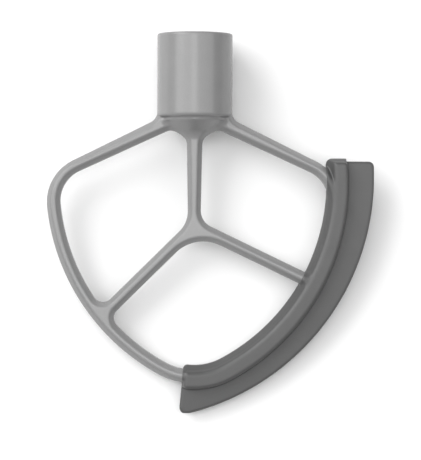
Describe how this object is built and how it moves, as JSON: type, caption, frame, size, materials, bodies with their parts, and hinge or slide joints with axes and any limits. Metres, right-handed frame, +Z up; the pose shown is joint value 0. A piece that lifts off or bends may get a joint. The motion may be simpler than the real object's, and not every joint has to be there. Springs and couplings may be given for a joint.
{
  "type": "stand mixer flat beater",
  "caption": "Flat beater for a stand mixer: a cast rim with a central rib and two branches under a round socket hub, and a rubber scraper blade along one side.",
  "frame": {"origin": "on the axis of the hub's bore, where its straight wall begins just inside the mouth", "axes": "+Y along the beater towards the hub's mouth, +X across it towards the rubber edge, +Z up from the surface that it lies on"},
  "size_m": [0.1215, 0.1416, 0.0305],
  "materials": {
    "coated_casting": "smooth grey coating, semi-gloss",
    "rubber_edge": "moulded, satin"
  },
  "bodies": {
    "root": {"beater_frame": "coated_casting", "scraper_edge": "rubber_edge"}
  },
  "joints": []
}
